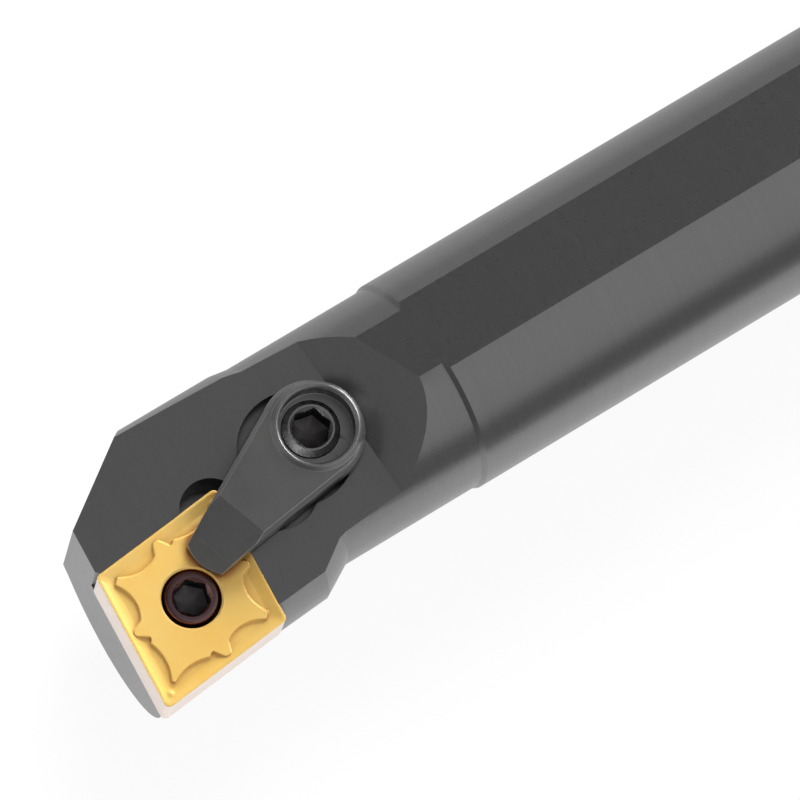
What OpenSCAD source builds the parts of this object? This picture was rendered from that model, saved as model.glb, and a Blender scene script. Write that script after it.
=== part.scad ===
// Boring bar with a rhombic cutting insert, held by a lock pin and a top clamp.
// X runs along the bar, from the cutting end (-X) to the rear end (+X).
// The origin is on the bar's axis, at the front edge of the round shank.
// The cutting corner is on the -Y side, at the height of the bar's axis.

/* [Shank] */
// Diameter of the round shank
shank_d = 20; // [19:0.5:22]
// Length of the whole bar, from the cutting corner to the rear face
overall_length = 200; // [150:5:250]
// Depth of the flats above and below, under the round
flat_depth = 0.75; // [0.3:0.05:1]
// Bevel on the rear edge
rear_bevel = 1; // [0.5:0.1:2]

/* [Neck] */
// How much smaller the neck's radius is than the shank's
neck_relief = 0.25; // [0.1:0.05:0.5]
// Length of the small cone between neck and shank
shoulder_run = 0.4; // [0.2:0.1:1]
// Length from the shank's front edge to the head's flare
neck_length = 14.3; // [13:0.1:15.5]

/* [Head] */
// Distance from the shank's front edge to the cutting corner, along the bar
tip_reach = 35.5; // [35:0.1:37]
// Distance from the bar's axis to the cutting corner
tip_offset = 13.5; // [13:0.1:14]
// Rise of the head's face towards the shank, in degrees
face_rise = 5.5; // [4:0.5:7]
// Fall of the head's face towards the cutting side, in degrees
face_lean = 14; // [12:0.5:15]
// Length of the face, from the cutting corner to the foot of the ramp
face_length = 27.3; // [26.5:0.1:28.5]
// Steepness of the ramp from the face up to the flat, in degrees
ramp_angle = 28.5; // [24:0.5:34]
// Length of the front edge, from the cutting corner to the bevelled corner
front_width = 17.3; // [16.5:0.1:18.5]
// Direction of the bevelled corner, in degrees from the face's length
corner_angle = 32.7; // [28:0.1:38]
// Gap between the insert's front edge and the plane of the head's front wall
front_setback = 0.12; // [0.05:0.01:0.4]
// How far the head's swelling is shifted towards the cutting side
head_shift = 2.1; // [1.6:0.1:2.6]
// Steepness of the flare behind the insert, in degrees
flare_angle = 28; // [20:1:36]
// Length of the flare
flare_length = 3.2; // [2.6:0.1:3.8]
// Widening of the head from the flare to the front, in degrees
head_taper = 2.2; // [1:0.1:3]
// Length over which the neck widens to the head's back
head_step_run = 1.6; // [0.8:0.1:2.4]

/* [Insert] */
// Diameter of the circle inside the insert's four edges
insert_size = 12.7; // [12.3:0.1:13]
// Angle of the insert's cutting corners, in degrees
insert_angle = 80; // [78:1:82]
// Turn of the insert on the face, in degrees
insert_turn = 3.7; // [2:0.1:6]
// Thickness of the insert
insert_thickness = 4.76; // [4:0.01:5.2]
// Radius of the insert's corners
corner_radius = 0.8; // [0.4:0.1:1.2]
// Diameter of the insert's hole
insert_hole_d = 5.16; // [5.1:0.01:5.5]
// Width of the flat land along the cutting edges
land_width = 0.25; // [0.1:0.05:0.5]
// Depth of the chip groove inside the land
groove_depth = 0.28; // [0.1:0.02:0.4]
// Steepness of the groove's outer side, in degrees
groove_fall = 18; // [12:1:30]
// Steepness of the groove's inner side, in degrees
groove_climb = 24; // [15:1:40]
// Distance from the cutting edge to the foot of the raised middle
middle_inset = 1.75; // [1.4:0.05:2.1]

/* [Insert pocket] */
// Radius of the drilled relief in the pocket's inner corner
relief_radius = 2.7; // [2.5:0.05:2.9]
// Distance of the relief's centre from the pocket's inner corner
relief_back = 1.95; // [1.6:0.05:2.1]
// Depth of that relief under the insert's seat
relief_sink = 0.4; // [0.2:0.1:1]
// Bevel where the pocket's wall meets the head's front
mouth_bevel = 0.35; // [0.2:0.05:0.6]

/* [Lock pin] */
// Outer diameter of the pin's thread
pin_thread_d = 6; // [5.5:0.1:6.4]
// Length of the pin's thread
pin_thread_length = 8.4; // [6:0.1:8.8]
// Diameter of the pin's head, inside the insert's hole
pin_head_d = 4.7; // [4.4:0.05:4.75]
// How far the head is off the thread's axis
pin_throw = 0.18; // [0.1:0.01:0.18]
// Depth of the pin's top under the insert's top
pin_sink = 0.35; // [0.2:0.05:0.8]
// Size of the pin's hexagon socket, across its flats
pin_hex = 2.8; // [2:0.1:3]

/* [Clamp] */
// Distance of the clamp's ring from the cutting corner, along the face
clamp_along = 23.9; // [23.7:0.1:24.3]
// Distance of the clamp's ring from the cutting corner, across the face
clamp_across = 12.9; // [12.6:0.1:13.3]
// Turn of the clamp's arm from the face's length, in degrees
clamp_turn = 16.1; // [14:0.1:18]
// Length of the arm, from the ring's centre to the nose
arm_length = 15.2; // [14.8:0.05:15.3]
// Radius of the clamp's round end
clamp_end_r = 4.5; // [4.45:0.05:4.6]
// Distance of the round end's centre from the ring's, towards the nose
clamp_end_ahead = 0.5; // [0.4:0.05:0.55]
// Width of the nose
nose_width = 3.7; // [3:0.1:4.4]
// Radius of the nose's end, seen from above
nose_curve_r = 4; // [3.2:0.1:6]
// Height of the arm's top above the head's face
arm_height = 2.8; // [2.4:0.1:3.4]
// Distance from the ring's centre to where the arm's top starts to slope down
slope_start = 10; // [9:0.1:11]
// Distance from the ring's centre to where that slope gets steeper
break_start = 13.75; // [13.4:0.05:14]
// Height of the nose where its slope gets steeper
break_height = 1.7; // [1.5:0.1:2]
// Thickness of the nose at its end
nose_height = 0.7; // [0.5:0.1:1]
// Height of the raised ring above the arm's top
ring_rise = 0.35; // [0.1:0.05:0.6]
// Outer radius of the raised ring
ring_r = 3.95; // [3.85:0.01:3.98]
// Bevel along the clamp's upper edges
clamp_bevel = 0.35; // [0.1:0.05:0.4]
// Length of the nose's pad on the insert
pad_length = 1.9; // [1.4:0.1:2.4]
// Radius of the counterbore round the screw's top
counterbore_r = 3.25; // [3.1:0.05:3.3]
// Depth of that counterbore
counterbore_depth = 1.9; // [1.4:0.1:2.2]

/* [Clamp pockets] */
// Radius of the pocket under the clamp's round end
heel_pocket_r = 5.05; // [4.8:0.05:5.2]
// Distance of that pocket's centre from the screw, towards the nose
heel_pocket_ahead = 1.8; // [1.6:0.1:2]
// Depth of that pocket
heel_pocket_depth = 1.9; // [1.4:0.1:2.4]
// Radius of the pocket under the arm
key_pocket_r = 3.55; // [3.3:0.05:3.7]
// Distance of the arm pocket's centre from the ring's centre, towards the nose
key_pocket_ahead = 5.8; // [5.4:0.1:6]
// Distance of the arm pocket's centre to the side of the arm
key_pocket_aside = 0.7; // [0.3:0.1:1]
// Depth of the arm pocket
key_pocket_depth = 1.3; // [0.9:0.1:1.7]

/* [Clamp screw] */
// Outer diameter of the clamp screw
screw_d = 5; // [4.6:0.1:5]
// Distance of the screw from the ring's centre, towards the nose
screw_ahead = 0.2; // [0:0.05:0.3]
// Distance of the screw from the ring's centre, to the side of the arm
screw_aside = 0.35; // [0.2:0.05:0.4]
// Length of the clamp screw
screw_length = 14; // [12:0.5:15]
// Depth of the screw's top under the top of the raised ring
screw_sink = 1.1; // [0.6:0.1:1.4]
// Size of the screw's hexagon sockets, across their flats
screw_hex = 3; // [2.5:0.1:3]

/* [Fits] */
// Gap round a turning thread
thread_gap = 0.05; // [0.02:0.01:0.08]
// Gap between pieces that press on each other when tight
press_gap = 0.03; // [0.01:0.01:0.05]
// Gap round the clamp's heels, and under its arm
clamp_gap = 0.3; // [0.2:0.05:0.4]

/* [Hidden] */
$fn = 96;

steel = [0.30, 0.30, 0.31];
clamp_steel = [0.33, 0.33, 0.33];
screw_steel = [0.24, 0.24, 0.25];
pin_steel = [0.22, 0.17, 0.18];
coating = [0.93, 0.72, 0.33];

// Shank and neck
shank_r = shank_d / 2;
neck_r = shank_r - neck_relief;
flat_z = shank_r - flat_depth;
rear_x = overall_length - tip_reach;
// How far cutting shapes reach past what they cut
past = 1;
far = 60;

// Swelling of the head: a cone whose axis lies parallel to the face's length
flare_root_r = neck_r - head_shift;
flare_bury = 2;
flare_bury_r = flare_root_r - flare_bury * tan(flare_angle);
flare_top_r = flare_root_r + flare_length * tan(flare_angle);
swell_length = 30;
swell_end_r = flare_top_r + swell_length * tan(head_taper);

// Insert: corners in its own frame, with the cutting corner at the origin
insert_edge = insert_size / sin(insert_angle);
side_dir = [1, 0];
front_dir = [cos(insert_angle), sin(insert_angle)];
corner_cut = [0, 0];
corner_side = insert_edge * side_dir;
corner_front = insert_edge * front_dir;
corner_inner = corner_side + corner_front;
insert_centre = corner_inner / 2;
open_run = 12;

// Groove of the insert
middle_top = -0.03;

// Lock pin: heights are counted from the face
seat_h = -insert_thickness;
pin_shoulder_h = seat_h - clamp_gap;
pin_end_h = pin_shoulder_h - pin_thread_length;
pin_hex_depth = 2.2;
pin_edge_bevel = 0.3;

// Clamp: heights are counted from the face, lengths from the ring's centre.
// The arm's sides run from the nose to the round end and pass into it just
// inside its widest line
side_r = clamp_end_r - 0.05;
nose_reach = norm([arm_length - clamp_end_ahead, nose_width / 2]);
arm_taper = asin(side_r / nose_reach) - atan2(nose_width / 2, arm_length - clamp_end_ahead);
side_start = [clamp_end_ahead + side_r * sin(arm_taper), side_r * cos(arm_taper)];
rim_bevel = 0.2;
ring_top_h = arm_height + ring_rise;
screw_top_h = ring_top_h - screw_sink;
screw_hole_depth = screw_length - screw_top_h + 0.6;
screw_hex_depth = 2.6;
screw_waist = 0.5;
screw_waist_length = 0.8;
drill_point_angle = 59;

// Places a shape in the frame of the head's face: its origin is the cutting
// corner, X runs along the face and Z stands square to it
module on_face() {
    translate([-tip_reach, -tip_offset, 0]) rotate([face_lean, -face_rise, 0]) children();
}

module on_insert() {
    on_face() rotate([0, 0, insert_turn]) children();
}

module at_insert_centre() {
    on_insert() translate([insert_centre.x, insert_centre.y, 0]) children();
}

// X points along the arm towards the nose
module on_clamp() {
    on_face() translate([clamp_along, clamp_across, 0]) rotate([0, 0, 180 + clamp_turn]) children();
}

module at_screw() {
    translate([screw_ahead, -screw_aside, 0]) children();
}

module at_heel_pocket() {
    at_screw() translate([heel_pocket_ahead, 0, 0]) children();
}

module at_key_pocket() {
    translate([key_pocket_ahead, key_pocket_aside, 0]) children();
}

// Turned shape from a profile of [radius, height] points
module turned(profile) {
    rotate_extrude() polygon(profile);
}

// Straight bar of a shape drawn in length and height, laid across the face
module across_face(width) {
    translate([0, width / 2, 0]) rotate([90, 0, 0]) linear_extrude(width) children();
}

// Bar body

// The bar as turned: the head's back, the neck, the shank and its rear bevel. Its
// circle starts on the cutting side
module round_bar() {
    rotate([0, 90, 0]) rotate([0, 0, -90]) turned([
        [0, -tip_reach - past], [shank_r, -tip_reach - past],
        [shank_r, -neck_length - head_step_run], [neck_r, -neck_length],
        [neck_r, -shoulder_run], [shank_r, 0],
        [shank_r, rear_x - rear_bevel], [shank_r - rear_bevel, rear_x], [0, rear_x]]);
}

// The head's swelling on the cutting side. It starts inside the neck, and its
// circle starts on the back of the head
module head_swell() {
    translate([-neck_length, -head_shift, 0]) rotate([0, -90 - face_rise, 0]) rotate([0, 0, 90]) turned([
        [0, -flare_bury], [flare_bury_r, -flare_bury], [flare_top_r, flare_length],
        [swell_end_r, flare_length + swell_length], [0, flare_length + swell_length]]);
}

// Everything ahead of the front wall and outside the bevelled corner
module front_cut() {
    front_a = insert_turn + insert_angle;
    front_line = [cos(front_a), sin(front_a)];
    front_in = front_setback * [sin(front_a), -cos(front_a)];
    corner_line = [cos(corner_angle), sin(corner_angle)];
    low = front_in - far * front_line;
    bend = front_in + front_width * front_line;
    high = bend + far * corner_line;
    on_face() translate([0, 0, -far / 2]) linear_extrude(far)
        polygon([low, bend, high, [-far, high.y], [-far, low.y]]);
}

// Everything above the inclined face and above the ramp behind it
module face_cut() {
    ramp_h = 20;
    on_face() across_face(2 * far)
        polygon([[-far, 0], [face_length, 0],
                 [face_length + ramp_h / tan(ramp_angle), ramp_h], [-far, ramp_h]]);
}

module flat_cuts() {
    translate([-tip_reach - past, -shank_r - past, flat_z])
        cube([overall_length + 2 * past, shank_d + 2 * past, flat_depth + past]);
    translate([-neck_length, -shank_r - past, -shank_r - past])
        cube([rear_x + neck_length + past, shank_d + 2 * past, flat_depth + past]);
}

// Two walls meet at the insert's inner corner; the pocket is open to the front
// and to the cutting side
module insert_pocket() {
    run = insert_edge + open_run;
    on_insert() {
        translate([0, 0, seat_h]) linear_extrude(insert_thickness + past)
            polygon([corner_inner, corner_inner - run * side_dir,
                     corner_inner - run * (side_dir + front_dir), corner_inner - run * front_dir]);
        // The relief stands square to both walls and clears the insert's corner
        translate([corner_inner.x, corner_inner.y, seat_h - relief_sink])
            rotate([0, 0, 180 + insert_angle / 2]) translate([relief_back, 0, 0])
                cylinder(h = insert_thickness + relief_sink + past, r = relief_radius);
        // Small bevel where the long wall ends at the front
        mouth = corner_front + front_setback / sin(insert_angle) * side_dir;
        translate([0, 0, seat_h]) linear_extrude(insert_thickness + past)
            polygon([mouth - side_dir - front_dir, mouth + mouth_bevel * side_dir - 0.1 * front_dir,
                     mouth + mouth_bevel * side_dir, mouth + mouth_bevel * front_dir,
                     mouth + mouth_bevel * front_dir - 0.1 * side_dir]);
    }
}

module pin_hole() {
    at_insert_centre() translate([0, 0, -far / 2])
        cylinder(h = far / 2, r = pin_thread_d / 2 + thread_gap);
}

module clamp_pockets() {
    on_clamp() {
        at_heel_pocket() translate([0, 0, -heel_pocket_depth])
            cylinder(h = heel_pocket_depth + past, r = heel_pocket_r);
        at_key_pocket() translate([0, 0, -key_pocket_depth])
            cylinder(h = key_pocket_depth + past, r = key_pocket_r);
    }
}

module screw_hole() {
    hole_r = screw_d / 2 + thread_gap;
    point = hole_r / tan(drill_point_angle);
    on_clamp() at_screw() turned([
        [0, -screw_hole_depth - point], [hole_r, -screw_hole_depth], [hole_r, past], [0, past]]);
}

module bar_body() {
    color(steel) difference() {
        union() {
            round_bar();
            head_swell();
        }
        front_cut();
        face_cut();
        flat_cuts();
        insert_pocket();
        pin_hole();
        clamp_pockets();
        screw_hole();
    }
}

// Insert

function toward(from, to) = (to - from) / norm(to - from);

// A rhombus whose corners are rounded with the nose radius
module insert_blank() {
    corners = [corner_cut, corner_side, corner_inner, corner_front];
    half = [insert_angle / 2, 90 - insert_angle / 2, insert_angle / 2, 90 - insert_angle / 2];
    tangents = [for (i = [0:3], side = [3, 1])
        corners[i] + corner_radius / tan(half[i]) * toward(corners[i], corners[(i + side) % 4])];
    translate([0, 0, seat_h]) {
        linear_extrude(insert_thickness) polygon(tangents);
        for (i = [0:3]) {
            inward = toward(corners[i], insert_centre);
            centre = corners[i] + corner_radius / sin(half[i]) * inward;
            translate([centre.x, centre.y, 0]) cylinder(h = insert_thickness, r = corner_radius);
        }
    }
}

// Half space whose lower face starts at the given inset and falls inwards
module above_slope(inset, fall) {
    translate([0, inset, 0]) rotate([-fall, 0, 0]) translate([-far, -far, 0]) cube([2 * far, 2 * far, far]);
}

// The four edges of the insert, each with its own X along the edge and Y inwards
module at_each_edge() {
    children();
    rotate([0, 0, insert_angle]) mirror([0, 1, 0]) children();
    translate([corner_inner.x, corner_inner.y, 0]) rotate([0, 0, 180]) {
        children();
        rotate([0, 0, insert_angle]) mirror([0, 1, 0]) children();
    }
}

// Room inside the land, with sloping sides and a flat floor
module groove_basin() {
    difference() {
        translate([0, 0, -groove_depth]) linear_extrude(groove_depth + past)
            polygon([corner_cut, corner_side, corner_inner, corner_front]);
        at_each_edge() difference() {
            translate([-far / 2, -past, -past]) cube([far, insert_size / 2 + past, 2 * past]);
            above_slope(land_width, groove_fall);
        }
    }
}

// Raised middle between the grooves, with sloping sides
module groove_middle() {
    difference() {
        translate([0, 0, -groove_depth - past]) linear_extrude(groove_depth + past + middle_top)
            polygon([corner_cut, corner_side, corner_inner, corner_front]);
        at_each_edge() translate([0, middle_inset, -groove_depth]) rotate([groove_climb, 0, 0])
            translate([-far / 2, -far / 2, 0]) cube([far, far, far / 2]);
    }
}

module chip_groove() {
    difference() {
        groove_basin();
        groove_middle();
    }
}

module insert() {
    color(coating) on_insert() difference() {
        insert_blank();
        chip_groove();
        translate([0, 0, 2 * seat_h + insert_thickness]) mirror([0, 0, 1]) chip_groove();
        translate([insert_centre.x, insert_centre.y, seat_h - past])
            cylinder(h = insert_thickness + 2 * past, r = insert_hole_d / 2);
    }
}

// Lock pin

module hex_socket(across, depth) {
    translate([0, 0, -depth]) cylinder(h = depth + past, d = across / cos(30), $fn = 6);
    translate([0, 0, -across * 0.12]) cylinder(h = across * 0.12 + past / 4,
        r1 = across * 0.5, r2 = across * 0.5 + (across * 0.12 + past / 4));
}

// The head stands off the thread's axis, towards the pocket's inner corner
module lock_pin() {
    head_r = pin_head_d / 2;
    thread_r = pin_thread_d / 2;
    color(pin_steel) at_insert_centre() difference() {
        union() {
            turned([
                [0, pin_end_h], [thread_r - pin_edge_bevel, pin_end_h],
                [thread_r, pin_end_h + pin_edge_bevel], [thread_r, pin_shoulder_h], [0, pin_shoulder_h]]);
            rotate([0, 0, insert_angle / 2]) translate([pin_throw, 0, 0]) turned([
                [0, pin_shoulder_h - past], [head_r, pin_shoulder_h - past],
                [head_r, -pin_sink - pin_edge_bevel], [head_r - pin_edge_bevel, -pin_sink], [0, -pin_sink]]);
        }
        rotate([0, 0, insert_angle / 2]) translate([pin_throw, 0, -pin_sink])
            hex_socket(pin_hex, pin_hex_depth);
        translate([0, 0, pin_end_h]) mirror([0, 0, 1]) hex_socket(pin_hex, pin_hex_depth);
    }
}

// Clamp

// Plan of the clamp: a round end and an arm that narrows to the nose
module clamp_plan(height) {
    arm_plan(height);
    translate([clamp_end_ahead, 0, 0]) cylinder(h = height, r = clamp_end_r);
}

module arm_plan(height) {
    linear_extrude(height) polygon([[clamp_end_ahead, 0], side_start, [arm_length, nose_width / 2],
        [arm_length, -nose_width / 2], [side_start.x, -side_start.y]]);
}

// Side view of the clamp: flat top, sloping nose, pad on the insert, arched below
module clamp_side() {
    across_face(4 * clamp_end_r) polygon([
        [-clamp_end_r - past, clamp_gap], [-clamp_end_r - past, arm_height],
        [slope_start, arm_height], [break_start, break_height], [arm_length, nose_height],
        [arm_length, press_gap], [arm_length - pad_length, press_gap],
        [arm_length - pad_length - 1, clamp_gap + 0.3], [key_pocket_ahead, clamp_gap]]);
}

// What lies outside the round front of the nose
module nose_cut() {
    translate([arm_length, 0, 0]) difference() {
        translate([-past, -nose_width, -past]) cube([2 * past, 2 * nose_width, arm_height + 2 * past]);
        translate([-nose_curve_r, 0, -2 * past]) rotate([0, 0, 180])
            cylinder(h = arm_height + 4 * past, r = nose_curve_r);
    }
}

// Lower parts of the clamp that reach into the two pockets
module clamp_heels() {
    heel_floor = press_gap - heel_pocket_depth;
    key_floor = clamp_gap - key_pocket_depth;
    intersection() {
        translate([0, 0, heel_floor]) clamp_plan(arm_height - heel_floor - past);
        union() {
            at_heel_pocket() translate([0, 0, heel_floor])
                cylinder(h = arm_height - heel_floor - past, r = heel_pocket_r - clamp_gap);
            at_key_pocket() translate([0, 0, key_floor])
                cylinder(h = arm_height - key_floor - past, r = key_pocket_r - clamp_gap);
        }
    }
}

// The arm, its two long upper edges bevelled
module bevelled_arm() {
    difference() {
        arm_plan(arm_height + past);
        for (side = [-1, 1]) on_side(side)
            translate([side_start.x, side_start.y, arm_height - clamp_bevel])
                rotate([0, 0, -arm_taper]) rotate([45, 0, 0]) translate([-past, 0, 0])
                    cube([arm_length + 2 * past, 3 * past, 3 * past]);
    }
}

module bevelled_end() {
    translate([clamp_end_ahead, 0, 0]) turned([
        [0, 0], [clamp_end_r, 0], [clamp_end_r, arm_height - clamp_bevel],
        [clamp_end_r - clamp_bevel, arm_height], [0, arm_height]]);
}

module on_side(side) {
    if (side > 0) children();
    else mirror([0, 1, 0]) children();
}

module raised_ring() {
    turned([
        [0, arm_height - past], [ring_r, arm_height - past], [ring_r, ring_top_h - clamp_bevel],
        [ring_r - clamp_bevel, ring_top_h], [0, ring_top_h]]);
}

module clamp() {
    hole_r = screw_d / 2 + thread_gap;
    color(clamp_steel) on_clamp() difference() {
        union() {
            intersection() {
                union() {
                    bevelled_arm();
                    bevelled_end();
                }
                clamp_side();
            }
            clamp_heels();
            raised_ring();
        }
        nose_cut();
        at_screw() translate([0, 0, -heel_pocket_depth - past])
            cylinder(h = ring_top_h + heel_pocket_depth + 2 * past, r = hole_r);
        translate([0, 0, ring_top_h - counterbore_depth])
            cylinder(h = counterbore_depth + past, r = counterbore_r);
        translate([0, 0, ring_top_h - rim_bevel])
            cylinder(h = rim_bevel + past, r1 = counterbore_r, r2 = counterbore_r + rim_bevel + past);
    }
}

// Clamp screw: two threads of opposite hand with a waist between them

module clamp_screw() {
    screw_r = screw_d / 2;
    waist_r = screw_r - screw_waist;
    end_h = screw_top_h - screw_length;
    waist_h = -heel_pocket_depth - screw_waist_length / 2;
    waist_top_h = waist_h + screw_waist_length;
    color(screw_steel) on_clamp() at_screw() difference() {
        turned([
            [0, end_h], [waist_r, end_h], [screw_r, end_h + screw_waist],
            [screw_r, waist_h], [waist_r, waist_h], [waist_r, waist_top_h], [screw_r, waist_top_h],
            [screw_r, screw_top_h - screw_waist], [waist_r, screw_top_h], [0, screw_top_h]]);
        translate([0, 0, screw_top_h]) hex_socket(screw_hex, screw_hex_depth);
        translate([0, 0, end_h]) mirror([0, 0, 1]) hex_socket(screw_hex, screw_hex_depth);
    }
}

bar_body();
insert();
lock_pin();
clamp();
clamp_screw();
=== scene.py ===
# Looks of the boring bar: materials, fine mesh detail, lights and camera
import math

import bpy
import numpy as np
from mathutils import Matrix, Vector


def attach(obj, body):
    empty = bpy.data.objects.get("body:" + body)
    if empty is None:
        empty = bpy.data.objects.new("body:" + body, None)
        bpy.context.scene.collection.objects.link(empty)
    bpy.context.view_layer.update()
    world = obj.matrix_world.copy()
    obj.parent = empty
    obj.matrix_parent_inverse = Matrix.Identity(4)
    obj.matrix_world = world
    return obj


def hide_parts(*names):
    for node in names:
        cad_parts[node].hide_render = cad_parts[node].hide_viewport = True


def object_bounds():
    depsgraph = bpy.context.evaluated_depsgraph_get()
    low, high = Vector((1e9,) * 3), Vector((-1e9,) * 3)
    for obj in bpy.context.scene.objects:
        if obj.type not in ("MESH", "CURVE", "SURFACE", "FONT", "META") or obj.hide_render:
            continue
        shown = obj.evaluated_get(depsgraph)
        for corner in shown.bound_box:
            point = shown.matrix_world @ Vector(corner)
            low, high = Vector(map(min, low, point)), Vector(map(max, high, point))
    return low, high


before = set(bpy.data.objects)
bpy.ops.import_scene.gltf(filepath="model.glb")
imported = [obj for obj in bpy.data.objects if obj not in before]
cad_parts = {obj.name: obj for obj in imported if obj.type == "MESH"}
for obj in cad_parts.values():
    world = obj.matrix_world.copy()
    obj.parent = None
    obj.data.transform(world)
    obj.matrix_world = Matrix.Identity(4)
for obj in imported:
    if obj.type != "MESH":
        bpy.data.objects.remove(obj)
size_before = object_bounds()

MM = 0.001

# Sizes of the object, in millimetres and degrees, as in the part's source
TIP = Vector((-35.5, -13.5, 0))
FACE_RISE = 5.5
FACE_LEAN = 14

INSERT_SIZE = 12.7
INSERT_ANGLE = 80
INSERT_TURN = 3.7
INSERT_THICKNESS = 4.76
INSERT_HOLE_R = 2.58
GROOVE_DEPTH = 0.28
MIDDLE_TOP = -0.03

PIN_THREAD_R = 3.0
PIN_THREAD_LENGTH = 8.4
PIN_BEVEL = 0.3
PIN_HEAD_R = 2.35
PIN_THROW = 0.18
PIN_HEX = 2.8
PIN_HEX_DEPTH = 2.2
PIN_TOP = -0.35
CLAMP_GAP = 0.3
PIN_SHOULDER = -INSERT_THICKNESS - CLAMP_GAP
PIN_END = PIN_SHOULDER - PIN_THREAD_LENGTH

CLAMP_ALONG = 23.9
CLAMP_ACROSS = 12.9
CLAMP_TURN = 16.1
ARM_HEIGHT = 2.8
RING_RISE = 0.35
SCREW_AHEAD = 0.2
SCREW_ASIDE = 0.35
SCREW_R = 2.5
SCREW_SINK = 1.1
SCREW_TOP = ARM_HEIGHT + RING_RISE - SCREW_SINK
SCREW_LENGTH = 14
SCREW_END = SCREW_TOP - SCREW_LENGTH
SCREW_HEX = 3
SCREW_HEX_DEPTH = 2.6
WAIST_R = 2.0
WAIST_LENGTH = 0.8
WAIST_HIGH = -1.5
WAIST_LOW = WAIST_HIGH - WAIST_LENGTH

# Finer forms than the source has: threads, and the insert's sharper corners, land and groove
PIN_PITCH = 1.0
SCREW_PITCH = 0.8
THREAD_DEPTH = 0.58
CORNER_RADIUS = 0.5
LAND = 0.2
GROOVE_RUN = 0.95
GROOVE_EASE = 1.25
WALL_ANGLE = 62
KNOB_BACK = 1.45
KNOB_HEIGHT = 0.12
KNOB_R = 0.26
EDGE_DROP = 0.04
HOLE_RIM = 0.16

# The rounding of the pin's head: depth below its top, and distance in from its side
HEAD_ROUNDING = ((0.65, 0), (0.2, 0), (0.1, 0.06), (0.03, 0.18), (0, 0.35))

# Points round each turned piece: a multiple of six, so that a socket keeps its corners
ROUND = 96

INSERT_POINTS = 480


def turned_by(degrees):
    return Matrix.Rotation(math.radians(degrees), 4, "Z")


def shifted(x, y, z=0.0):
    return Matrix.Translation(Vector((x, y, z)))


def face_matrix():
    """Frame of the head's face, in millimetres: origin at the cutting corner, Z square to the face."""
    rise = Matrix.Rotation(-math.radians(FACE_RISE), 4, "Y")
    lean = Matrix.Rotation(math.radians(FACE_LEAN), 4, "X")
    return Matrix.Translation(TIP) @ rise @ lean


INSERT_EDGE = INSERT_SIZE / math.sin(math.radians(INSERT_ANGLE))
INSERT_CENTRE = (0.5 * INSERT_EDGE * (1 + math.cos(math.radians(INSERT_ANGLE))), 0.5 * INSERT_SIZE)


def insert_matrix():
    return face_matrix() @ turned_by(INSERT_TURN)


def pin_matrix():
    return insert_matrix() @ shifted(*INSERT_CENTRE) @ turned_by(INSERT_ANGLE / 2)


def screw_matrix():
    clamp = face_matrix() @ shifted(CLAMP_ALONG, CLAMP_ACROSS) @ turned_by(180 + CLAMP_TURN)
    return clamp @ shifted(SCREW_AHEAD, -SCREW_ASIDE)


# Shader nodes; owner is a material or the world


def new_material(name):
    material = bpy.data.materials.new(name)
    material.use_nodes = True
    shader = material.node_tree.nodes["Principled BSDF"]
    return material, shader


def add_node(owner, kind, **settings):
    node = owner.node_tree.nodes.new(kind)
    for key, value in settings.items():
        setattr(node, key, value)
    return node


def link(owner, source, target):
    owner.node_tree.links.new(source, target)


def colour(r, g, b):
    """Linear colour from the 0 to 255 values that a screen shows."""
    return tuple(((c / 255 + 0.055) / 1.055) ** 2.4 if c > 10 else c / 255 / 12.92 for c in (r, g, b))


def combine(owner, operation, first, second):
    """Math node on two values, each a number with a point or another node's output."""
    node = add_node(owner, "ShaderNodeMath", operation=operation)
    for socket, value in zip(node.inputs, (first, second)):
        if isinstance(value, float):
            socket.default_value = value
        else:
            link(owner, value, socket)
    return node.outputs[0]


def spread(owner, value, low, high, start=0.3, end=0.7, curve="LINEAR"):
    """A value's range from start to end, stretched to the range from low to high."""
    ramp = add_node(owner, "ShaderNodeMapRange", interpolation_type=curve)
    ramp.inputs["From Min"].default_value = start
    ramp.inputs["From Max"].default_value = end
    ramp.inputs["To Min"].default_value = low
    ramp.inputs["To Max"].default_value = high
    link(owner, value, ramp.inputs["Value"])
    return ramp.outputs["Result"]


def grain(material, scale, detail, roughness=0.6, stretch=(1, 1, 1)):
    """Noise in the object's own coordinates, with the given number of waves per metre."""
    place = add_node(material, "ShaderNodeTexCoord")
    mapping = add_node(material, "ShaderNodeMapping")
    mapping.inputs["Scale"].default_value = stretch
    noise = add_node(material, "ShaderNodeTexNoise")
    noise.inputs["Scale"].default_value = scale
    noise.inputs["Detail"].default_value = detail
    noise.inputs["Roughness"].default_value = roughness
    link(material, place.outputs["Object"], mapping.inputs["Vector"])
    link(material, mapping.outputs["Vector"], noise.inputs["Vector"])
    return noise.outputs["Fac"]


def blend_colours(material, factor, first, second):
    """Mix of two colours; the first may come from another node."""
    mix = add_node(material, "ShaderNodeMix", data_type="RGBA")
    link(material, factor, mix.inputs["Factor"])
    if isinstance(first, tuple):
        mix.inputs["A"].default_value = (*first, 1)
    else:
        link(material, first, mix.inputs["A"])
    mix.inputs["B"].default_value = (*second, 1)
    return mix.outputs["Result"]


def bump(material, shader, height, distance):
    """Unevenness of the given depth in millimetres."""
    node = add_node(material, "ShaderNodeBump")
    node.inputs["Distance"].default_value = distance * MM
    link(material, height, node.inputs["Height"])
    link(material, node.outputs["Normal"], shader.inputs["Normal"])


def edge_mask(material, width, most):
    """From 0 away from edges up to the given value close to them."""
    rounded = add_node(material, "ShaderNodeBevel", samples=4)
    rounded.inputs["Radius"].default_value = width * MM
    surface = add_node(material, "ShaderNodeNewGeometry")
    compare = add_node(material, "ShaderNodeVectorMath", operation="DOT_PRODUCT")
    link(material, rounded.outputs["Normal"], compare.inputs[0])
    link(material, surface.outputs["Normal"], compare.inputs[1])
    return spread(material, compare.outputs["Value"], most, 0, start=0.93, end=0.995)


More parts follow.
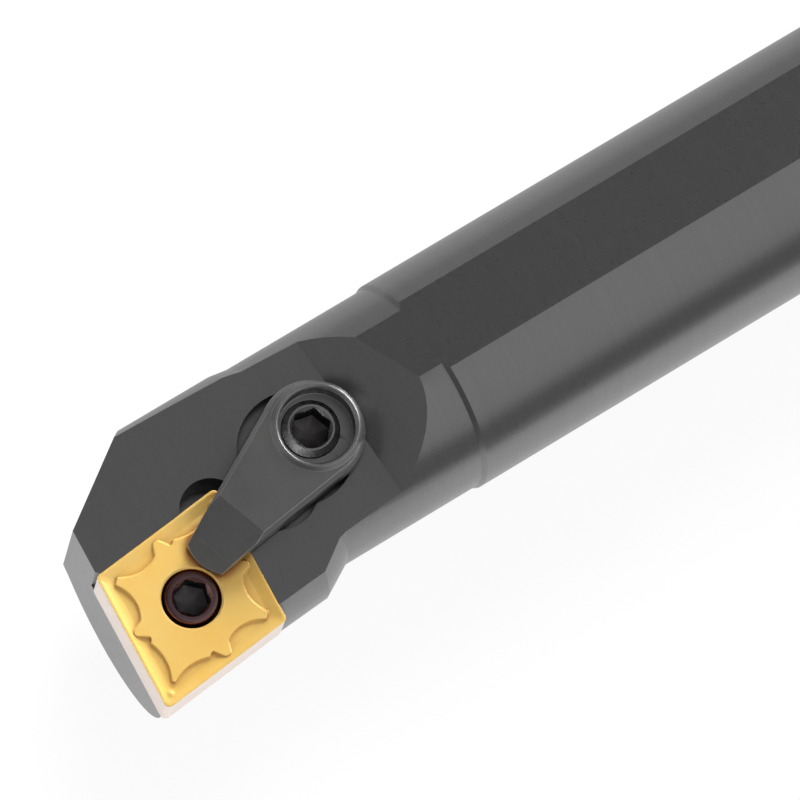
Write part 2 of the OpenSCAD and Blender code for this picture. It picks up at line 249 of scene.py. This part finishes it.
def corner_shade_mask(material, reach, most):
    """Painted shade: from 0 in the open up to the given value where two surfaces meet in an inner corner, or
    where a nearby part closes over a surface.
    """
    openness = add_node(material, "ShaderNodeAmbientOcclusion", samples=8)
    openness.inputs["Distance"].default_value = reach * MM
    return spread(material, openness.outputs["AO"], most, 0, start=0.6, end=0.96)


# Materials


def worn_steel(name, dark, light, roughness, grain_scale, bump_height, wear=0.5,
               edge_tone=(0.55, 0.55, 0.56), edge_width=0.12):
    """Blackened steel: fine grain, slight clouds and brighter edges where the blackening has worn."""
    material, shader = new_material(name)
    shader.inputs["Metallic"].default_value = 1.0
    fine = grain(material, grain_scale, detail=2)
    cloud = grain(material, scale=160, detail=4)
    tone = blend_colours(material, spread(material, cloud, 0, 1), dark, light)
    tone = blend_colours(material, edge_mask(material, edge_width, wear), tone, edge_tone)
    link(material, tone, shader.inputs["Base Color"])
    link(material, spread(material, fine, *roughness), shader.inputs["Roughness"])
    bump(material, shader, fine, bump_height)
    return material


def bar_finish():
    """The bar's own steel, with faint rings left by turning and grinding round its axis, and painted shade
    that darkens its inner corners almost to black.
    """
    material, shader = new_material("bar steel")
    shader.inputs["Metallic"].default_value = 1.0
    fine = grain(material, scale=3200, detail=2)
    rings = spread(material, grain(material, scale=60, detail=4, stretch=(60, 1, 1)), 0, 1)
    edges = edge_mask(material, width=0.08, most=0.15)
    # painted shade: inner corners, and places close under other parts, darkened towards near black
    corners = corner_shade_mask(material, reach=0.5, most=0.75)
    tone = blend_colours(material, rings, (0.262, 0.262, 0.266), (0.278, 0.278, 0.281))
    tone = blend_colours(material, edges, tone, (0.45, 0.45, 0.46))
    tone = blend_colours(material, corners, tone, (0.08, 0.08, 0.08))
    link(material, tone, shader.inputs["Base Color"])
    link(material, spread(material, fine, 0.27, 0.33), shader.inputs["Roughness"])
    bump(material, shader, fine, distance=0.001)
    return material


def gold_coating():
    """The insert's coating, paler along its edges, with painted shade in dark brown low in the groove, where
    its walls meet its floor.
    """
    material, shader = new_material("gold coating")
    shader.inputs["Metallic"].default_value = 0.35
    shader.inputs["Coat Weight"].default_value = 0.6
    shader.inputs["Coat Roughness"].default_value = 0.18
    fine = grain(material, scale=6000, detail=2)
    cloud = spread(material, grain(material, scale=300, detail=3), 0, 1)
    edges = edge_mask(material, width=0.08, most=0.45)
    # painted shade: dark brown where the groove's walls close over its floor, and close under parts resting
    # on the insert
    corners = corner_shade_mask(material, reach=0.9, most=0.9)
    tint = blend_colours(material, cloud, colour(255, 205, 104), colour(255, 214, 122))
    tint = blend_colours(material, edges, tint, colour(255, 236, 185))
    tint = blend_colours(material, corners, tint, colour(158, 82, 20))
    link(material, tint, shader.inputs["Base Color"])
    link(material, spread(material, fine, 0.28, 0.38), shader.inputs["Roughness"])
    bump(material, shader, fine, distance=0.002)
    return material


def pale_sides_painted_reflection():
    """The insert's ground sides, with fine strokes; their pale, near-white tint is a painted reflection of
    the bright floor.
    """
    material, shader = new_material("ground sides")
    shader.inputs["Metallic"].default_value = 0.45
    fine = grain(material, scale=9000, detail=5)
    strokes = grain(material, scale=400, detail=4, stretch=(1, 1, 14))
    share = spread(material, strokes, 0, 1)
    # painted reflection: the near-white tint stands for the bright floor mirrored in the sides
    tint = blend_colours(material, share, colour(248, 230, 220), colour(253, 240, 230))
    link(material, tint, shader.inputs["Base Color"])
    link(material, spread(material, fine, 0.3, 0.42), shader.inputs["Roughness"])
    bump(material, shader, strokes, distance=0.002)
    return material


bar_steel = bar_finish()
clamp_steel = worn_steel("clamp steel", dark=(0.26, 0.265, 0.26), light=(0.32, 0.32, 0.315),
                         roughness=(0.3, 0.42), grain_scale=2600, bump_height=0.006,
                         wear=0.9, edge_tone=(0.85, 0.85, 0.86), edge_width=0.1)
screw_steel = worn_steel("screw steel", dark=(0.26, 0.26, 0.265), light=(0.32, 0.32, 0.325),
                         roughness=(0.24, 0.34), grain_scale=4000, bump_height=0.003,
                         wear=0.8, edge_tone=(0.8, 0.8, 0.81))
# The pin's dark tone is its own; its red tint, and that of its edges, is a painted reflection of the gold
# insert round it.
pin_steel = worn_steel("pin steel with painted reflection", dark=(0.17, 0.1, 0.105), light=(0.22, 0.13, 0.135),
                       roughness=(0.2, 0.3), grain_scale=4000, bump_height=0.003,
                       edge_tone=(0.5, 0.33, 0.33))
# Darker, rougher steel deep in the hex sockets: painted shade in the recesses.
socket_painted_shade = worn_steel("socket painted shade", dark=(0.12, 0.108, 0.11), light=(0.15, 0.138, 0.14),
                          roughness=(0.4, 0.5), grain_scale=4000, bump_height=0.003, wear=0.1)
coating = gold_coating()
sides = pale_sides_painted_reflection()


# Pieces made ring by ring


def quads_between(low, high, count):
    """Faces between two rings whose first points have the given numbers."""
    return [(low + i, low + (i + 1) % count, high + (i + 1) % count, high + i) for i in range(count)]


def cap(start, middle, count, order):
    """Faces from a ring to the point in its middle; order is 1, or -1 to face the other way."""
    return [(*(start + i, start + (i + 1) % count)[::order], middle) for i in range(count)]


def skin(name, rings, closed, materials, matrix):
    """Piece whose surface runs over a row of rings, each with equally many points.

    Open rows end in a cap at either end. materials lists one material for each gap between rings."""
    count = len(rings[0])
    points = [point for ring in rings for point in ring]
    faces = []
    slots = []
    gaps = len(rings) if closed else len(rings) - 1
    for k in range(gaps):
        faces += quads_between(k * count, (k + 1) % len(rings) * count, count)
        slots += [materials[k]] * count
    if not closed:
        ends = ((rings[0], 0, -1, materials[0]), (rings[-1], len(points) - count, 1, materials[-1]))
        for ring, start, order, material in ends:
            faces += cap(start, len(points), count, order)
            slots += [material] * count
            points.append([sum(places) / count for places in zip(*ring)])
    mesh = bpy.data.meshes.new(name)
    mesh.from_pydata([matrix @ Vector(point) * MM for point in points], [], faces)
    used = list(dict.fromkeys(slots))
    for material in used:
        mesh.materials.append(material)
    mesh.polygons.foreach_set("material_index", [used.index(material) for material in slots])
    mesh.polygons.foreach_set("use_smooth", [True] * len(faces))
    mesh.set_sharp_from_angle(angle=math.radians(38))
    piece = bpy.data.objects.new(name, mesh)
    bpy.context.scene.collection.objects.link(piece)
    return piece


def circle_ring(radius, height, off=0.0):
    """Ring of points; radius may be a function of the angle."""
    ring = []
    for i in range(ROUND):
        angle = 2 * math.pi * i / ROUND
        r = radius(angle) if callable(radius) else radius
        ring.append((off + r * math.cos(angle), r * math.sin(angle), height))
    return ring


def hexagon(across):
    """Radius of a hexagon as a function of the angle."""
    def radius(angle):
        return across / 2 / math.cos((angle + math.pi / 6) % (math.pi / 3) - math.pi / 6)
    return radius


def socket_rings(across, depth, top, direction, off=0.0):
    """Hexagon socket with a countersunk mouth; direction is -1 downwards from the top, 1 upwards."""
    flat_r = across / 2
    mouth = 0.12 * across
    sides_r = hexagon(across)
    mouth_steps = 8
    rings = []
    for step in range(mouth_steps + 1):
        sunk = mouth * step / mouth_steps
        cone = flat_r + mouth - sunk

        def radius(angle, cone=cone):
            return max(sides_r(angle), cone)
        rings.append(circle_ring(radius, top + direction * sunk, off))
    rings.append(circle_ring(sides_r, top + direction * depth, off))
    rings.append(circle_ring(0.6 * flat_r, top + direction * (depth + 0.25 * flat_r), off))
    return rings


def thread_rings(low, high, crest, pitch, hand):
    """Rings of a screw thread: hand is 1 for a right-hand thread and -1 for a left-hand one."""
    steps = max(2, round((high - low) / (pitch / 8)))
    rings = []
    for step in range(steps + 1):
        height = low + (high - low) * step / steps
        runout = min(1.0, (height - low) / pitch, (high - height) / pitch)

        def radius(angle, height=height, runout=runout):
            turn = (height / pitch - hand * angle / (2 * math.pi)) % 1.0
            rise = min(1.0, max(0.0, 2.6 * abs(turn - 0.5) - 0.15))
            return crest - THREAD_DEPTH * pitch * (1 - rise) * runout
        rings.append(circle_ring(radius, height))
    return rings


def threaded(name, rings, finish, matrix):
    """Piece with a hexagon socket at either end of its row of rings, with painted shade deep inside each
    socket.
    """
    finishes = [socket_painted_shade] * 2 + [finish] * (len(rings) - 5) + [socket_painted_shade] * 3
    return skin(name, rings, False, finishes, matrix)


def make_screw():
    bevel = SCREW_R - WAIST_R
    rings = socket_rings(SCREW_HEX, SCREW_HEX_DEPTH, SCREW_END, 1)[::-1]
    rings.append(circle_ring(WAIST_R, SCREW_END))
    rings += thread_rings(SCREW_END + bevel, WAIST_LOW, SCREW_R, SCREW_PITCH, hand=-1)
    rings.append(circle_ring(WAIST_R, WAIST_LOW))
    rings.append(circle_ring(WAIST_R, WAIST_HIGH))
    rings += thread_rings(WAIST_HIGH, SCREW_TOP - bevel, SCREW_R, SCREW_PITCH, hand=1)
    rings.append(circle_ring(WAIST_R, SCREW_TOP))
    rings += socket_rings(SCREW_HEX, SCREW_HEX_DEPTH, SCREW_TOP, -1)
    return threaded("threaded_screw", rings, screw_steel, screw_matrix())


def make_pin():
    rings = socket_rings(PIN_HEX, PIN_HEX_DEPTH, PIN_END, 1)[::-1]
    rings.append(circle_ring(PIN_THREAD_R - PIN_BEVEL, PIN_END))
    rings += thread_rings(PIN_END + PIN_BEVEL, PIN_SHOULDER, PIN_THREAD_R, PIN_PITCH, hand=1)
    rings.append(circle_ring(PIN_HEAD_R, PIN_SHOULDER, PIN_THROW))
    for depth, inset in HEAD_ROUNDING:
        rings.append(circle_ring(PIN_HEAD_R - inset, PIN_TOP - depth, PIN_THROW))
    rings += socket_rings(PIN_HEX, PIN_HEX_DEPTH, PIN_TOP, -1, PIN_THROW)
    return threaded("threaded_pin", rings, pin_steel, pin_matrix())


# Insert: rounded rhombus with a chip groove pressed into both of its faces
HALF = INSERT_SIZE / 2

# Directions from the insert's centre, in degrees: of its edges, and of its corners with half their angle
HALF_ANGLE = INSERT_ANGLE / 2
EDGE_NORMALS = (-90, INSERT_ANGLE - 90, 90, INSERT_ANGLE + 90)
CORNERS = ((HALF_ANGLE + 180, HALF_ANGLE), (HALF_ANGLE - 90, 90 - HALF_ANGLE),
           (HALF_ANGLE, HALF_ANGLE), (HALF_ANGLE + 90, 90 - HALF_ANGLE))

# The rib between the two scallops of each edge: places along the edge, and the middle's inset there
RIB_PLACES = (5.7, 6.1, 6.7, 7.05, 7.4, 7.9)
RIB_INSETS = (1.3, 1.62, 0.55, 0.45, 0.55, 1.54)

# Where the raised middle's foot starts along an edge, how long it runs, and in how many steps
FOOT_START = 2.0
FOOT_RUN = 9.5
FOOT_STEPS = 76


def outline_radius(angle):
    """Distance from the insert's centre to its outline, for an angle in degrees."""
    def off_by(direction):
        return math.radians((angle - direction + 180) % 360 - 180)

    # A ray meets the edges that lie ahead of it, and may meet the arc of a corner near it
    ahead = [off_by(normal) for normal in EDGE_NORMALS if abs(off_by(normal)) < 1.5]
    for direction, half_angle in CORNERS:
        delta = off_by(direction)
        back = (HALF - CORNER_RADIUS) / math.sin(math.radians(half_angle))
        under = CORNER_RADIUS ** 2 - (back * math.sin(delta)) ** 2
        if abs(delta) < 0.5 and under > 0:
            reach = back * math.cos(delta) + math.sqrt(under)
            lean = math.degrees(math.atan2(reach * math.sin(delta), reach * math.cos(delta) - back))
            if abs(lean) < 90 - half_angle:
                return reach
    return min(HALF / math.cos(lean) for lean in ahead)


def middle_inset(along):
    """How far inwards the raised middle's foot lies, at a distance along an edge from its 80 degree corner.

    Two scallops with a rib between them that reaches out almost to the edge."""
    def scallop(middle, deepest, breadth):
        return deepest - (along - middle) ** 2 / breadth

    if along < RIB_PLACES[0]:
        return scallop(middle=3.8, deepest=1.8, breadth=7.2)
    if along > RIB_PLACES[-1]:
        return scallop(middle=9.3, deepest=1.9, breadth=5.4)
    return float(np.interp(along, RIB_PLACES, RIB_INSETS))


def middle_outline():
    """Foot of the raised middle, in the insert's frame, as a closed line."""
    angle = math.radians(INSERT_ANGLE)
    side = np.array((1.0, 0.0))
    front = np.array((math.cos(angle), math.sin(angle)))
    side_in = np.array((0.0, 1.0))
    front_in = np.array((math.sin(angle), -math.cos(angle)))
    inner = INSERT_EDGE * (side + front)
    steps = [FOOT_START + FOOT_RUN * k / FOOT_STEPS for k in range(FOOT_STEPS + 1)]
    cutting_side = [step * side + middle_inset(step) * side_in for step in steps]
    cutting_front = [step * front + middle_inset(step) * front_in for step in steps]
    inner_front = [inner - point for point in cutting_front]
    inner_side = [inner - point for point in cutting_side]
    return np.array(cutting_side + inner_front[::-1] + inner_side + cutting_front[::-1])


def depth_inside(points, outline):
    """Distance of each point from a closed line, positive inside it."""
    runs = np.roll(outline, -1, axis=0) - outline
    nearest = np.full(len(points), np.inf)
    crossings = np.zeros(len(points), int)
    for start, run in zip(outline, runs):
        square = run @ run
        if square < 1e-12:
            continue
        away = points - start
        share = np.clip(away @ run / square, 0, 1)
        nearest = np.minimum(nearest, np.hypot(*(away - share[:, None] * run).T))
        spans = (start[1] > points[:, 1]) != (start[1] + run[1] > points[:, 1])
        if run[1] != 0:
            level = start[0] + run[0] * (points[:, 1] - start[1]) / run[1]
            crossings += spans & (points[:, 0] < level)
    return np.where(crossings % 2 == 1, nearest, -nearest)


def soft_max(a, b, width):
    """The larger of two values, with a rounded change from one to the other."""
    return 0.5 * (a + b + np.sqrt((a - b) ** 2 + width ** 2))


def face_heights(points, inset):
    """Height of the insert's upper face at points of its frame that lie one distance inwards of its edge."""
    share = np.clip((inset - LAND) / GROOVE_RUN, 0, 1)
    floor = -GROOVE_DEPTH * (1 - (1 - share) ** GROOVE_EASE)
    climb = math.tan(math.radians(WALL_ANGLE))
    wall = -GROOVE_DEPTH + climb * depth_inside(points, middle_outline())
    middle = -soft_max(-wall, -MIDDLE_TOP, width=0.015)
    height = soft_max(floor, middle, width=0.01)
    inner = 2 * np.array(INSERT_CENTRE)
    half_angle = math.radians(HALF_ANGLE)
    knob = KNOB_BACK * np.array((math.cos(half_angle), math.sin(half_angle)))
    for place in (knob, inner - knob):
        away = np.hypot(*(points - place).T)
        height = height + KNOB_HEIGHT * np.exp(-(away / KNOB_R) ** 2)
    return np.minimum(height, 0)


def insert_half():
    """Rings of the insert's upper half, as three rows: its bore, its face and its side."""
    angles = [360 * i / INSERT_POINTS for i in range(INSERT_POINTS)]
    outline = np.array([outline_radius(angle) for angle in angles])
    cosines = np.cos(np.radians(angles))
    sines = np.sin(np.radians(angles))

    def ring_of(radius, height):
        x = INSERT_CENTRE[0] + radius * cosines
        y = INSERT_CENTRE[1] + radius * sines
        return np.column_stack((x, y, np.full(INSERT_POINTS, height)))

    groove_insets = [0.0, 0.04, 0.1] + [0.15 + 0.05 * k for k in range(46)]
    rims = [(inset, outline * (1 - inset / HALF)) for inset in groove_insets]
    last_inset, last_radius = rims[-1]
    middle_steps = 9
    for step in range(1, middle_steps + 1):
        share = step / middle_steps
        rims.append((last_inset + share, (1 - share) * last_radius + share * (INSERT_HOLE_R + HOLE_RIM)))

    face = []
    for inset, radius in rims:
        ring = ring_of(radius, 0)
        ring[:, 2] = face_heights(ring[:, :2], inset)
        face.append(ring)
    face[0][:, 2] -= EDGE_DROP
    bore = [ring_of(INSERT_HOLE_R, height) for height in (-0.2, -0.4, -INSERT_THICKNESS / 2)]
    flank = [ring_of(outline, height) for height in (-0.12, -0.3, -INSERT_THICKNESS / 2)]
    return bore[::-1], face[::-1], flank


def make_insert():
    bore, face, flank = insert_half()
    upper = bore + face + flank
    lower = [ring * (1, 1, -1) + (0, 0, -INSERT_THICKNESS) for ring in upper[-2:0:-1]]
    rings = [ring.tolist() for ring in upper + lower]
    gold_gaps = len(bore) + len(face) - 1
    side_gaps = 2 * len(flank)
    finishes = [coating] * gold_gaps + [sides] * side_gaps
    finishes += [coating] * (len(rings) - len(finishes))
    return skin("coated_insert", rings, True, finishes, insert_matrix())


def break_edges(piece, width):
    """Small bevel on a piece's edges. Its faces arrive unjoined, so they are welded first."""
    weld = piece.modifiers.new("joined faces", "WELD")
    weld.merge_threshold = 0.001 * MM
    bevel = piece.modifiers.new("broken edges", "BEVEL")
    bevel.width = width * MM
    bevel.segments = 2
    bevel.limit_method = "ANGLE"
    bevel.angle_limit = math.radians(25)
    normals = piece.modifiers.new("even shading", "WEIGHTED_NORMAL")
    normals.keep_sharp = True


for made, node, body, slot in ((make_screw(), "clamp_screw", "screw", "screw_steel"),
                               (make_pin(), "lock_pin", "pin", "pin_steel"),
                               (make_insert(), "insert", "bar", "coated_carbide")):
    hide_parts(node)
    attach(made, body)

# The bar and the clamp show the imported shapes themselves
for node, material in (("bar_body", bar_steel), ("clamp", clamp_steel)):
    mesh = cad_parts[node].data
    mesh.materials.clear()
    mesh.materials.append(material)
break_edges(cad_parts["clamp"], width=0.1)


# Camera: the photo's own viewing angle, worked out for a square picture
TURN_LEFT = math.radians(17.64)
TIP_DOWN = math.radians(23.14)
TWIST = math.radians(0.2)
PICTURE_ROLL = math.radians(31.04)
DISTANCE = 800
PIXELS_PER_MM = 11.662
PICTURE_SIZE = 800

# The point that it looks at: along the bar's axis, and a little to its side
AIM_ALONG = -2.176
AIM_ASIDE = -0.064


def place_camera():
    back = Vector((-math.sin(TURN_LEFT), -math.cos(TURN_LEFT) * math.sin(TIP_DOWN),
                   math.cos(TURN_LEFT) * math.cos(TIP_DOWN)))
    along = Vector((math.cos(TURN_LEFT), -math.sin(TURN_LEFT) * math.sin(TIP_DOWN),
                    math.sin(TURN_LEFT) * math.cos(TIP_DOWN)))
    across = Vector((0, math.cos(TIP_DOWN), math.sin(TIP_DOWN)))
    first = along * math.cos(TWIST) + across * math.sin(TWIST)
    second = -along * math.sin(TWIST) + across * math.cos(TWIST)
    right = first * math.cos(PICTURE_ROLL) - second * math.sin(PICTURE_ROLL)
    up = first * math.sin(PICTURE_ROLL) + second * math.cos(PICTURE_ROLL)
    target = Vector((AIM_ALONG, 0, 0)) + AIM_ASIDE * second

    data = bpy.data.cameras.new("camera")
    data.sensor_width = 36
    data.lens = data.sensor_width * PIXELS_PER_MM * DISTANCE / PICTURE_SIZE
    data.clip_start = 0.05
    data.clip_end = 20
    camera = bpy.data.objects.new("camera", data)
    bpy.context.scene.collection.objects.link(camera)
    turn = Matrix((right, up, back)).transposed().to_4x4()
    camera.matrix_world = Matrix.Translation((target + DISTANCE * back) * MM) @ turn
    bpy.context.scene.camera = camera


# Floor and lights, in metres; the levels are shares of white
FLOOR_NEAR = -0.033
FLOOR_FAR = 6.0
FLOOR_GAP = 0.0001
FLOOR_GLOW = 0.93
TENT_LEVEL = 0.255


def mix_shaders(owner, share, first, second):
    mix = add_node(owner, "ShaderNodeMixShader")
    link(owner, share, mix.inputs[0])
    link(owner, first.outputs[0], mix.inputs[1])
    link(owner, second.outputs[0], mix.inputs[2])
    return mix.outputs[0]


def floor_finish():
    """White, and shining by itself where the camera or a mirroring surface sees it."""
    material, shader = new_material("floor")
    shader.inputs["Base Color"].default_value = (0.95, 0.95, 0.95, 1)
    shader.inputs["Roughness"].default_value = 0.9
    shader.inputs["Specular IOR Level"].default_value = 0.0
    place = add_node(material, "ShaderNodeTexCoord")
    split = add_node(material, "ShaderNodeSeparateXYZ")
    link(material, place.outputs["Object"], split.inputs["Vector"])
    path = add_node(material, "ShaderNodeLightPath")
    by_camera = path.outputs["Is Camera Ray"]
    by_mirror = path.outputs["Is Glossy Ray"]
    mirrored = spread(material, split.outputs["Y"], 0.85, 0.55, start=-0.01, end=0.03)
    white = add_node(material, "ShaderNodeEmission")
    white.inputs["Color"].default_value = (1, 1, 1, 1)
    link(material, combine(material, "MAXIMUM", mirrored, by_camera), white.inputs["Strength"])
    seen = combine(material, "MAXIMUM", by_camera, by_mirror)
    share = combine(material, "MULTIPLY", seen, FLOOR_GLOW)
    surface = mix_shaders(material, share, shader, white)
    link(material, surface, material.node_tree.nodes["Material Output"].inputs["Surface"])
    return material


def add_floor():
    """White floor. It ends just beside the bar, where the photo's bar mirrors a dark strip."""
    level = size_before[0][2] - FLOOR_GAP
    corners = [(-FLOOR_FAR, FLOOR_NEAR, level), (FLOOR_FAR, FLOOR_NEAR, level),
               (FLOOR_FAR, FLOOR_FAR, level), (-FLOOR_FAR, FLOOR_FAR, level)]
    mesh = bpy.data.meshes.new("floor")
    mesh.from_pydata(corners, [], [(0, 1, 2, 3)])
    mesh.materials.append(floor_finish())
    floor = bpy.data.objects.new("floor", mesh)
    bpy.context.scene.collection.objects.link(floor)


def tent_level(world, glossy_ray):
    """Brightness by direction: dim overhead, brighter at the cutting side, bright near other horizons."""
    place = add_node(world, "ShaderNodeTexCoord")
    split = add_node(world, "ShaderNodeSeparateXYZ")
    link(world, place.outputs["Generated"], split.inputs["Vector"])
    x, y, z = split.outputs

    def ease(value, start, end, low, high):
        return spread(world, value, low, high, start, end, curve="SMOOTHSTEP")

    def add(first, second):
        return combine(world, "ADD", first, second)

    def multiply(first, second):
        return combine(world, "MULTIPLY", first, second)

    cutting_side = multiply(ease(y, -0.34, -0.16, 0.29, 0.0), ease(x, -0.5, -0.25, 0.0, 1.0))
    far_side = add(ease(y, 0.0, 0.25, 0.0, -0.1), ease(y, 0.5, 0.95, 0.0, 0.29))
    not_ahead = ease(x, -0.7, -0.45, 0.0, 1.0)
    front_only = combine(world, "MAXIMUM", not_ahead, ease(y, -0.24, -0.12, 1.0, 0.0))
    over_head = multiply(ease(x, -0.38, -0.12, -0.12, 0.0), front_only)
    ahead = ease(x, -0.75, -0.5, 0.05, 0.0)
    glow = multiply(ease(z, 0.1, 0.42, 0.6, 0.0), ease(x, -0.7, -0.5, 1.0, 0.0))
    glow = multiply(glow, ease(y, -0.1, 0.15, 0.0, 1.0))
    above = add(add(cutting_side, far_side), add(over_head, glow))
    above = add(add(above, ahead), TENT_LEVEL)
    below = ease(glossy_ray, 0.0, 1.0, 0.95, 0.2)
    sky = multiply(above, ease(z, -0.02, 0.05, 0.0, 1.0))
    ground = multiply(below, ease(z, -0.02, 0.05, 1.0, 0.0))
    return add(sky, ground)


def add_world():
    """Soft tent round the object, plain white where the camera sees it."""
    world = bpy.data.worlds.new("world")
    bpy.context.scene.world = world
    world.use_nodes = True
    world.node_tree.nodes.clear()
    path = add_node(world, "ShaderNodeLightPath")
    lit = add_node(world, "ShaderNodeBackground")
    link(world, tent_level(world, path.outputs["Is Glossy Ray"]), lit.inputs["Color"])
    seen = add_node(world, "ShaderNodeBackground")
    seen.inputs["Color"].default_value = (1, 1, 1, 1)
    output = add_node(world, "ShaderNodeOutputWorld")
    link(world, mix_shaders(world, path.outputs["Is Camera Ray"], lit, seen), output.inputs[0])


def add_lamp(name, direction, strength, angle, glossy):
    """A far lamp shining from the given direction; it lights mirroring surfaces only, or all others only."""
    data = bpy.data.lights.new(name, "SUN")
    data.energy = strength
    data.angle = math.radians(angle)
    lamp = bpy.data.objects.new(name, data)
    bpy.context.scene.collection.objects.link(lamp)
    lamp.rotation_euler = Vector(direction).to_track_quat("Z", "Y").to_euler()
    lamp.visible_diffuse = not glossy
    lamp.visible_glossy = glossy


place_camera()
add_floor()
add_world()
add_lamp("soft key", (0.64, 0.56, 0.53), strength=7.2, angle=50, glossy=False)
add_lamp("soft top", (-0.2, -0.35, 0.92), strength=0.35, angle=70, glossy=False)
add_lamp("front fill", (-0.15, -0.97, 0.1), strength=1.0, angle=70, glossy=False)
add_lamp("glint", (0.92, 0.16, 0.36), strength=2.4, angle=40, glossy=True)

bpy.context.scene.view_settings.view_transform = "Standard"
